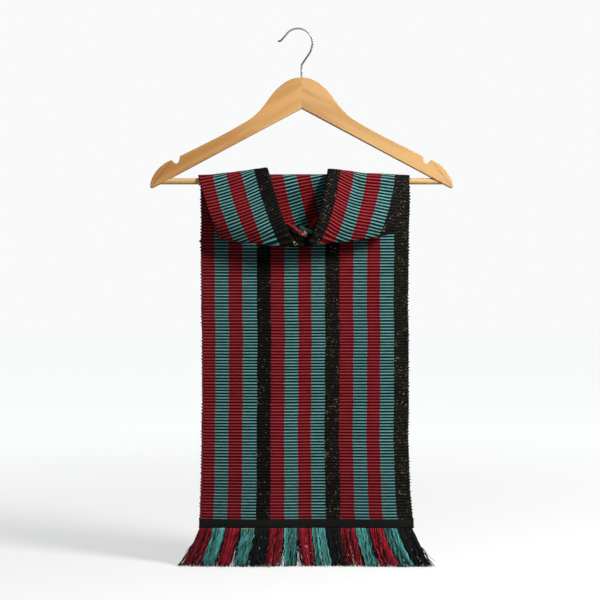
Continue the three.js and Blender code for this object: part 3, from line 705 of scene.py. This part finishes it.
# the ends of the middle's stripes curl forward into the V
# shares pick the stripe, turn is how far a strip curls, places are where it runs and how wide it is there
curls = {
    "red_end": {"shares": (0.345, 0.37), "turn": 2.0, "places": [
        (-15.5, -18, -288.8, 5), (-12, -22, -290.8, 5.5), (-6.5, -25.6, -294.2, 6), (-1, -27.6, -298, 5.5),
        (5, -28.4, -302, 4)]},
    "teal_end": {"shares": (0.41, 0.46), "turn": 2.4, "places": [
        (2.4, -17, -292.6, 5), (8, -22, -296, 7), (14.6, -25, -298.6, 7), (21.6, -24.8, -300, 5)]},
    "red_lump": {"shares": (0.475, 0.52), "turn": 2.8, "places": [
        (17, -16, -295, 7), (21.5, -18, -290.4, 10), (26.3, -17.5, -283.2, 10), (30, -15, -277, 6)]},
    "red_fold": {"shares": (0.35, 0.39), "turn": 2.8, "places": [
        (-7.6, -22, -307, 3.5), (-3, -23, -309, 4.5), (2.5, -24.4, -308, 4.5), (6.6, -26.8, -304.8, 3.5)]},
    "black_fold": {"shares": (0.275, 0.32), "turn": 2.8, "places": [
        (-2.5, -30.5, -316.6, 8), (4.4, -33, -319.6, 9), (10.3, -33, -319.2, 9), (17.6, -30.5, -314.8, 8)]},
    "black_upper_fold": {"shares": (0.275, 0.32), "turn": 2.8, "places": [
        (1.5, -27.5, -311.6, 8), (8.9, -29.6, -312.8, 10), (18.6, -27.5, -304.6, 9)]},
}


def gatherPiece():
    shares = np.linspace(0, 1, gather["columns"])
    rows = np.array(gather["rows"], float)
    at = np.linspace(0, len(rows) - 1, gather["steps"] + 1)
    z, left, right, y, deep = (np.interp(at, range(len(rows)), rows[:, k]) for k in range(5))
    bent = shares[None, :] + 0.05 * np.sin(at * 1.9)[:, None]
    wave = np.sin(2 * np.pi * gather["pleats"] * bent)
    wave = wave + gather["smallShare"] * np.sin(2 * np.pi * gather["smallPleats"] * bent + at[:, None])
    x = left[:, None] * (1 - shares) + right[:, None] * shares
    y = y[:, None] + gather["pleatShare"] * deep[:, None] * wave
    points = np.stack([x, y, np.broadcast_to(z[:, None], x.shape)], axis=2)
    low, high = gather["share"]
    ribs = np.linspace(0, gather["ribs"], gather["steps"] + 1)
    return clothPiece("cowl_gather_cloth", points[::-1], low + (high - low) * shares, ribs[::-1],
                      ribScale=0.35, lookKey="weaveInner")


def curlPiece(name, curl):
    # a strip that runs through the places, its edges curled away from the front
    route = np.array(curl["places"])
    path = smoothPath(route[:, :3], 12)
    steps = pathLength(path)
    ribs = np.arange(0, steps[-1] / cloth["pitch"] * 5) / 5
    ribs = np.append(ribs, steps[-1] / cloth["pitch"])
    at = ribs * cloth["pitch"]
    spine = pointsAlong(path, at)
    wide = np.interp(at, steps[::12], route[:, 3])
    ahead = np.gradient(spine, axis=0)
    ahead /= np.linalg.norm(ahead, axis=1, keepdims=True)
    front = np.array([0, -1, 0]) - ahead * (-ahead[:, 1:2])
    front /= np.linalg.norm(front, axis=1, keepdims=True)
    side = np.cross(ahead, front)
    across = np.linspace(-0.5, 0.5, 15)
    turn = curl["turn"] * across[None, :]
    reach = (wide / curl["turn"])[:, None]
    points = spine[:, None] + side[:, None] * (reach * np.sin(turn))[:, :, None]
    points = points - front[:, None] * (reach * (1 - np.cos(turn)))[:, :, None]
    points = points + 0.35 * wander(across * 9, len(name))[None, :, None] * front[:, None]
    low, high = curl["shares"]
    # pulled flat, so that only one side of a rib shows all along
    pulled = 0.32 + 0.02 * np.sin(2 * np.pi * ribs)
    return clothPiece(name, points, low + (high - low) * (across + 0.5), pulled,
                      ribScale=0.35, lookKey="weaveInner")


print("cloth shapes ready")
pieces = {
    "frontTail": dress(makeTail("front"), ["front_tail"]),
    "backTail": dress(makeTail("back"), ["back_tail"]),
    "frontHeader": dress(makeHeader("front"), ["front_header"]),
    "backHeader": dress(makeHeader("back"), ["back_header"]),
    "leftFlap": dress(flapPiece("cowl_left_cloth", leftFlapLines, cowl["leftColumns"], True, 0,
                                cowl["leftTilt"]), ["cowl_left_flap"]),
    "rightFlap": dress(flapPiece("cowl_right_cloth", rightFlapLines, cowl["rightColumns"], False, 30,
                                 cowl["rightTilt"]), ["cowl_right_flap"]),
    "middle": dress(middlePiece(), ["cowl_middle"]),
    "lap": dress(lapPiece(), ["inner_lap"]),
    "gather": dress(gatherPiece(), ["cowl_gather"]),
}
curlPieces = [dress(curlPiece("cowl_" + name, curl), []) for name, curl in curls.items()]
print("cloth laid")


fringe = {
    "foot": -794.8, "yarnsPerLock": 30, "darkPerStripe": 42, "lockShare": 0.86,
    "radius": 0.42, "steps": 15,
    "clump": (0.1, 0.42),       # how far the threads of a lock draw together
    "bundle": 3,                # so many neighbours wave together and share a tone
    "crimp": (0.5, 1.5), "crimpTurns": (1.8, 4.2),
    "lockDeep": 2.4,
    "splay": 4.0,      # how far forward or backward the ends reach
    "flare": 1.3,      # how late the threads turn outward
    "stray": (0.08, 4, 8),            # share of strays, how far aside and how much shorter
    "lengths": 1.8, "darkLengths": 1.2,   # how unevenly the threads end
    "darkAside": 2.4, "darkInFront": 0.2,
    "goldThread": (-84, -65, -737),   # left, right and height, just under the header
}
fringeEnds = [  # where each stripe's threads end, left and right
    (-174, -145), (-141, -125), (-120, -104), (-93, -76), (-74, -52), (-50, -30), (-21, -3), (7, 25),
    (26, 51), (53, 72), (70, 98), (101, 120), (123, 150), (150, 173), (174, 197),
]
knot = {"place": (8.8, -30, -303.4), "size": (2.6, 0.9, 2.1), "threads": 38, "radius": 0.42}
yarnLooks = ["yarnRed", "yarnTeal", "yarnBlack", "yarnGold", "yarnPale"]


def curveToPiece(name, data):
    # the curve becomes a mesh that keeps its materials
    shape = bpy.data.objects.new(name + "_line", data)
    bpy.context.scene.collection.objects.link(shape)
    bpy.context.view_layer.update()
    mesh = bpy.data.meshes.new_from_object(shape.evaluated_get(bpy.context.evaluated_depsgraph_get()))
    mesh.name = name
    bpy.data.objects.remove(shape)
    for polygon in mesh.polygons:
        polygon.use_smooth = True
    piece = bpy.data.objects.new(name, mesh)
    bpy.context.scene.collection.objects.link(piece)
    return piece


def weld(piece):
    # the end caps are joined to their threads
    made = bmesh.new()
    made.from_mesh(piece.data)
    bmesh.ops.remove_doubles(made, verts=made.verts, dist=1e-7)
    bmesh.ops.recalc_face_normals(made, faces=made.faces)
    made.to_mesh(piece.data)
    made.free()
    return piece


class Threads:
    # loose threads that become one mesh, each with a tone of its own
    def __init__(self, name):
        self.name, self.tones = name, []
        self.data = bpy.data.curves.new(name, "CURVE")
        self.data.dimensions = "3D"
        self.data.bevel_depth = 0.001
        self.data.bevel_resolution = 0
        self.data.use_fill_caps = True
        for key in yarnLooks:
            self.data.materials.append(looks[key])

    def add(self, places, radius, look, tone):
        # one thread through the places, thinner at its end
        line = self.data.splines.new("POLY")
        line.points.add(len(places) - 1)
        line.material_index = yarnLooks.index(look)
        for i, (point, place) in enumerate(zip(line.points, places)):
            point.co = (*(np.asarray(place) / 1000), 1)
            point.radius = radius * (1 - 0.4 * (i / (len(places) - 1)) ** 3)
        self.tones.append(min(1, max(0, tone)))

    def finish(self):
        tones = np.float32(self.tones)
        counts = [len(line.points) for line in self.data.splines]
        piece = curveToPiece(self.name, self.data)
        # the mesh has the end caps first, the last thread's before the others, then four corners a point
        own = piece.data.attributes.new("tone", "FLOAT", "POINT")
        own.data.foreach_set("value", np.concatenate([np.repeat(tones[::-1], 8),
                                                      np.repeat(tones, 4 * np.array(counts))]))
        return weld(piece)


def fringeRoot(side, share, back):
    z = tail["foot"] - cloth["seam"] - tail["headerDrop"] + 0.6
    return tailGrid(np.array([share]), np.array([z]), tail[side + "Depth"] + back, 0)[0, 0]


def newCrimp():
    # how often and how far a thread waves, and where it starts
    turns, size = random.uniform(*fringe["crimpTurns"]), random.uniform(*fringe["crimp"])
    return turns, size, random.uniform(0, 2 * math.pi)


def addStrand(threads, side, share, back, end, look, tone, crimp):
    # one crimped thread from the header to its end; end gives x, y away from the header, and z
    t = np.linspace(0, 1, fringe["steps"])
    out = -1 if side == "front" else 1
    root = fringeRoot(side, share, back)
    turns, size, phase = crimp
    loose = np.minimum(1, 5 * t)
    angle = 2 * math.pi * turns * t + phase
    x = root[0] + (end[0] - root[0]) * t ** fringe["flare"] + size * loose * np.sin(angle)
    y = root[1] + out * end[1] * t ** 1.6 + 0.6 * size * loose * np.cos(angle)
    z = root[2] + (end[2] - root[2]) * t
    threads.add(np.stack([x, y, z], axis=1), fringe["radius"] * random.uniform(0.75, 1.15), look, tone)


def fringeLock(threads, side, shares, ends, look):
    # threads that leave the header side by side and hang as one loose lock
    clump, lockTone = random.uniform(*fringe["clump"]), random.uniform(0.3, 0.62)
    forward, drop = random.uniform(0.6, fringe["splay"]), random.uniform(0, 2.2)
    endMiddle = sum(ends) / 2 + random.gauss(0, 0.8 if side == "front" else 3)
    for n in range(fringe["yarnsPerLock"]):
        if n % fringe["bundle"] == 0:
            tone, crimp = lockTone + random.gauss(0, 0.38), newCrimp()
        place = (n + random.uniform(-0.3, 1.3)) / fringe["yarnsPerLock"]
        drawn = 0.5 + (place - 0.5) * fringe["lockShare"]
        share = min(0.997, max(0.003, shares[0] + (shares[1] - shares[0]) * drawn))
        end = ends[0] + (ends[1] - ends[0]) * place + random.gauss(0, 1.1)
        end += (endMiddle - end) * clump
        strayShare, aside, shorter = fringe["stray"]
        stray = random.random() < strayShare
        if stray:
            end += random.gauss(0, aside)
        foot = fringe["foot"] + drop + abs(random.gauss(0, fringe["lengths"]))
        foot += random.uniform(0, shorter) if stray else 0
        deep = forward + random.uniform(-1, 1) * fringe["lockDeep"]
        addStrand(threads, side, share, random.uniform(-0.6, 0.8), (end, deep, foot), look,
                  tone + random.gauss(0, 0.1), crimp)


def makeFringe(side):
    inward = 1 if side == "front" else -1
    threads = Threads(side + "_fringe_yarns")
    for stripe, ((name, _), (endLeft, endRight)) in enumerate(zip(stripes, fringeEnds)):
        left, right = stripeEdges[stripe], stripeEdges[stripe + 1]
        look = "yarn" + name.capitalize()
        parts = [0, random.uniform(0.4, 0.6), 1]
        for low, high in zip(parts[:-1], parts[1:]):
            fringeLock(threads, side, (left + (right - left) * low, left + (right - left) * high),
                       (endLeft + (endRight - endLeft) * low, endLeft + (endRight - endLeft) * high), look)
        # dark threads of the weave hang behind and between the locks
        for n in range(fringe["darkPerStripe"]):
            place = (n + random.random()) / fringe["darkPerStripe"] * 1.3 - 0.15
            share = min(0.995, max(0.005, left + (right - left) * place))
            end = endLeft + (endRight - endLeft) * place + random.gauss(0, fringe["darkAside"])
            inFront = random.random() < fringe["darkInFront"]
            ahead = random.uniform(2, 4.5) if inFront else random.uniform(-1.5, 1)
            addStrand(threads, side, share, inward * random.uniform(0.4, 1),
                      (end, ahead, fringe["foot"] + abs(random.gauss(0, fringe["darkLengths"]))),
                      "yarnBlack", random.uniform(0.2, 0.8), newCrimp())
    if side == "front":
        left, right, z = fringe["goldThread"]
        x = np.linspace(left, right, 24)
        y = fringeRoot(side, 0.22, -3.1)[1] + 0.2 * np.sin(x * 2.1)
        threads.add(np.stack([x, y, z + 0.35 * np.sin(x * 1.3)], axis=1), 0.4, "yarnGold", 0.45)
    return threads.finish()


def makeKnot():
    # the pale frayed knot that sits in the V
    threads = Threads("cowl_frayed_knot")
    centre = np.array(knot["place"])
    t = np.linspace(0, 1, 8)
    for n in range(knot["threads"]):
        start, bend, end = (np.array([random.gauss(0, size) for size in knot["size"]]) for _ in range(3))
        way = np.outer((1 - t) ** 2, start) + np.outer(2 * t * (1 - t), bend * 1.6) + np.outer(t ** 2, end)
        threads.add(centre + way, knot["radius"] * random.uniform(0.6, 1.3),
                    "yarnPale" if random.random() < 0.75 else "yarnRed", random.uniform(0.1, 0.9))
    return threads.finish()


for side in ("front", "back"):
    pieces[side + "Fringe"] = dress(makeFringe(side), [side + "_fringe"])
pieces["knot"] = dress(makeKnot(), [])
print("fringe made")


hanger = {
    "middleX": 5.2, "thick": 13, "round": 2.4, "joint": 0.06,
    "barHalf": 216, "wire": 1.35, "arc": 21.4, "arcFrom": 148, "arcTo": -25, "arcStep": 17,
    "flatBorder": 0.7,
}
# an arm's outline, distance from the middle and height
armUpper = [(0, -71.9), (10, -72.6), (20.8, -76.9), (35, -87.5), (44.5, -98.2), (53.3, -110.4),
            (63.2, -122.2), (75, -132.4), (89.5, -141.2), (114, -155), (140.1, -168.2), (165, -180.6),
            (179.2, -187.6)]
armNotch = [(179.2, -187.6), (179.7, -191.4), (180.8, -195.6), (183.6, -198.3), (187.2, -197.4),
            (189.4, -194.9), (191.4, -193)]
armEnd = [(191.4, -193), (199.8, -197.2), (208.4, -203.6), (215.4, -211.7), (220.6, -221),
          (222.9, -229.6), (222.2, -234.2), (218.8, -233.6)]
armApex = (0, -117)
# the wire before and after its arc
hookTip = [(-28.6, -17.4), (-26.6, -17.3), (-24.4, -15.8), (-21.9, -12.9)]
hookStem = [(18.6, -32.2), (7.6, -49), (5.8, -52.2), (5.2, -55.5), (5.2, -66), (5.2, -84)]


def linkMesh(name, made, look, smooth=True):
    for face in made.faces:
        face.smooth = smooth
    mesh = bpy.data.meshes.new(name)
    made.to_mesh(mesh)
    made.free()
    mesh.materials.append(looks[look])
    piece = bpy.data.objects.new(name, mesh)
    bpy.context.scene.collection.objects.link(piece)
    return piece


def makeArm(name, side, look):
    outline = []
    for part in (armUpper, armNotch, armEnd):
        line = smoothPath([(x, 0, z) for x, z in part], 4)
        outline += [tuple(p) for p in (line if part is armEnd else line[:-1])]
    outline[0] = (hanger["joint"] / 2, 0, outline[0][2])
    outline.append((hanger["joint"] / 2, 0, armApex[1]))
    made = bmesh.new()
    half = hanger["thick"] / 2
    ring = [made.verts.new(((hanger["middleX"] + side * x) / 1000, -half / 1000, z / 1000))
            for x, _, z in outline]
    face = made.faces.new(ring)
    grown = bmesh.ops.extrude_face_region(made, geom=[face])
    bmesh.ops.translate(made, vec=(0, hanger["thick"] / 1000, 0),
                        verts=[v for v in grown["geom"] if isinstance(v, bmesh.types.BMVert)])
    bmesh.ops.recalc_face_normals(made, faces=made.faces)
    rims = [e for e in made.edges if abs(e.verts[0].co.y - e.verts[1].co.y) < 1e-6
            and not all(abs(v.co.x * 1000 - hanger["middleX"]) < 0.3 for v in e.verts)]
    bmesh.ops.bevel(made, geom=rims, offset=hanger["round"] / 1000, affect="EDGES", segments=4,
                    profile=0.5, material=-1, clamp_overlap=True)
    # a narrow inner border keeps the two wide faces flat beside the rounding
    wide = [f for f in made.faces if abs(f.normal.y) > 0.99 and f.calc_area() > 1e-3]
    bmesh.ops.inset_individual(made, faces=wide, thickness=hanger["flatBorder"] / 1000)
    piece = linkMesh(name, made, look)
    for polygon in piece.data.polygons:
        polygon.use_smooth = abs(polygon.normal.y) < 0.999
    return piece


def makeBar():
    made = bmesh.new()
    bmesh.ops.create_cone(made, cap_ends=True, segments=40, radius1=lap["barRadius"] / 1000,
                          radius2=lap["barRadius"] / 1000, depth=2 * hanger["barHalf"] / 1000)
    bmesh.ops.rotate(made, verts=made.verts, matrix=Matrix.Rotation(math.pi / 2, 3, "Y"))
    bmesh.ops.translate(made, verts=made.verts, vec=(hanger["middleX"] / 1000, 0, lap["barZ"] / 1000))
    for edge in made.edges:
        edge.smooth = edge.calc_face_angle(0) < 0.6
    return linkMesh("bar_rod", made, "bar")


def makeHook():
    centreZ = hanger["wire"] - hanger["arc"]
    arc = []
    for degrees in range(hanger["arcFrom"], hanger["arcTo"], -hanger["arcStep"]):
        angle = math.radians(degrees)
        arc.append((hanger["arc"] * math.cos(angle), centreZ + hanger["arc"] * math.sin(angle)))
    keys = [(x, 0, z) for x, z in hookTip + arc + hookStem]
    data = bpy.data.curves.new("hook_line", "CURVE")
    data.dimensions = "3D"
    data.bevel_depth = hanger["wire"] / 1000
    data.bevel_resolution = 4
    data.use_fill_caps = True
    path = smoothPath(keys, 6)
    line = data.splines.new("POLY")
    line.points.add(len(path) + 2)
    # the tip is rounded off by three short narrowing steps
    away = (path[0] - path[1]) / np.linalg.norm(path[0] - path[1])
    tip = [(path[0] + away * 1.3, 0.12), (path[0] + away * 1.15, 0.55), (path[0] + away * 0.7, 0.86)]
    for point, (place, radius) in zip(line.points, tip + [(p, 1) for p in path]):
        point.co = (*(place / 1000), 1)
        point.radius = radius
    data.materials.append(looks["steel"])
    return curveToPiece("hook_wire", data)


dress(makeArm("arm_left_wood", -1, "armLeft"), ["hanger_arm_left"])
dress(makeArm("arm_right_wood", 1, "armRight"), ["hanger_arm_right"])
dress(makeBar(), ["hanger_bar"])
dress(makeHook(), ["hook"])
print("hanger made")


curlPieces + [pieces["knot"]]


stageSet = {  # in metres
    "floorZ": -0.7945, "floorSize": 40,
    "backdrop": (0.945, 0.95, 0.95),
    "lightAbove": (0.15, 0.155, 0.163), "lightBelow": (0.30, 0.295, 0.285),
    "floorDark": (0.43, 0.435, 0.44), "floorLight": (0.45, 0.45, 0.45),
    "glowNear": (0.395, 0.395, 0.395), "glowFar": (0.872, 0.877, 0.876),
    "key": {"place": (1.45, -1.15, 0.66), "aim": (0, 0, -0.42), "size": 0.7, "power": 62,
            "colour": (1, 0.985, 0.96)},
    "fill": {"place": (-1.6, -2.6, 0.2), "aim": (0, 0, -0.4), "size": 1.6, "power": 3,
             "colour": (1, 1, 1)},
    "cameraDistance": 2.5, "millimetresPerPixel": 1.476, "pictureWidth": 600,
    "aim": (0.00295, 0, -0.3994), "sensor": 36,
}

ground = bmesh.new()
bmesh.ops.create_grid(ground, x_segments=1, y_segments=1, size=stageSet["floorSize"] / 2)
bmesh.ops.translate(ground, verts=ground.verts, vec=(0, 0, stageSet["floorZ"]))
pale = Shader("floor_pale", {"Roughness": 0.95, "Specular IOR Level": 0, "Emission Strength": 1})
spot = pale.node("ShaderNodeTexCoord", out=3)
away = pale.node("ShaderNodeVectorMath", {"operation": "LENGTH"}, {0: spot}, 1)
pale.feed(Base_Color=pale.blend(pale.noise(spot, 3), stageSet["floorDark"], stageSet["floorLight"]),
          Emission_Color=pale.blend(pale.step(away, -1.0, 3.0), stageSet["glowNear"], stageSet["glowFar"]))
looks["floor"] = pale.material
floor = linkMesh("floor", ground, "floor", False)
floor.visible_diffuse = floor.visible_glossy = False   # it shows white, but lights nothing from below

# the backdrop is brighter than the light that it gives
world = bpy.context.scene.world or bpy.data.worlds.new("studio")
bpy.context.scene.world = world
world.use_nodes = True
skyNodes, skyLinks = world.node_tree.nodes, world.node_tree.links
# more light comes up from the pale floor than down from the dim room
way = skyNodes.new("ShaderNodeSeparateXYZ")
skyLinks.new(skyNodes.new("ShaderNodeTexCoord").outputs["Generated"], way.inputs[0])
height = skyNodes.new("ShaderNodeMapRange")
height.inputs["From Min"].default_value, height.inputs["From Max"].default_value = -0.8, 0.3
skyLinks.new(way.outputs[2], height.inputs["Value"])
room = skyNodes.new("ShaderNodeMix")
room.data_type = "RGBA"
for socket, key in ((6, "lightBelow"), (7, "lightAbove")):
    room.inputs[socket].default_value = (*stageSet[key], 1)
skyLinks.new(height.outputs[0], room.inputs[0])
skyLinks.new(room.outputs[2], skyNodes["Background"].inputs["Color"])
seen = skyNodes.new("ShaderNodeBackground")
seen.inputs["Color"].default_value = (*stageSet["backdrop"], 1)
chosen = skyNodes.new("ShaderNodeMixShader")
skyLinks.new(skyNodes.new("ShaderNodeLightPath").outputs["Is Camera Ray"], chosen.inputs[0])
skyLinks.new(skyNodes["Background"].outputs[0], chosen.inputs[1])
skyLinks.new(seen.outputs[0], chosen.inputs[2])
skyLinks.new(chosen.outputs[0], skyNodes["World Output"].inputs["Surface"])
bpy.context.scene.view_settings.view_transform = "Standard"


def softLight(name):
    values = stageSet[name]
    data = bpy.data.lights.new(name, "AREA")
    data.shape = "DISK"
    data.size = values["size"]
    data.energy = values["power"]
    data.color = values["colour"]
    lamp = bpy.data.objects.new(name, data)
    lamp.location = values["place"]
    toward = Vector(values["aim"]) - Vector(values["place"])
    lamp.rotation_euler = toward.to_track_quat("-Z", "Y").to_euler()
    bpy.context.scene.collection.objects.link(lamp)


softLight("key")
softLight("fill")

camera = bpy.data.cameras.new("camera")
camera.sensor_width = stageSet["sensor"]
aim = Vector(stageSet["aim"])
seenWidth = stageSet["pictureWidth"] * stageSet["millimetresPerPixel"] / 1000
camera.lens = stageSet["sensor"] * stageSet["cameraDistance"] / seenWidth
viewer = bpy.data.objects.new("camera", camera)
viewer.location = aim - Vector((0, stageSet["cameraDistance"], 0))
viewer.rotation_euler = (math.radians(90), 0, 0)
bpy.context.scene.collection.objects.link(viewer)
bpy.context.scene.camera = viewer
print("stage set")
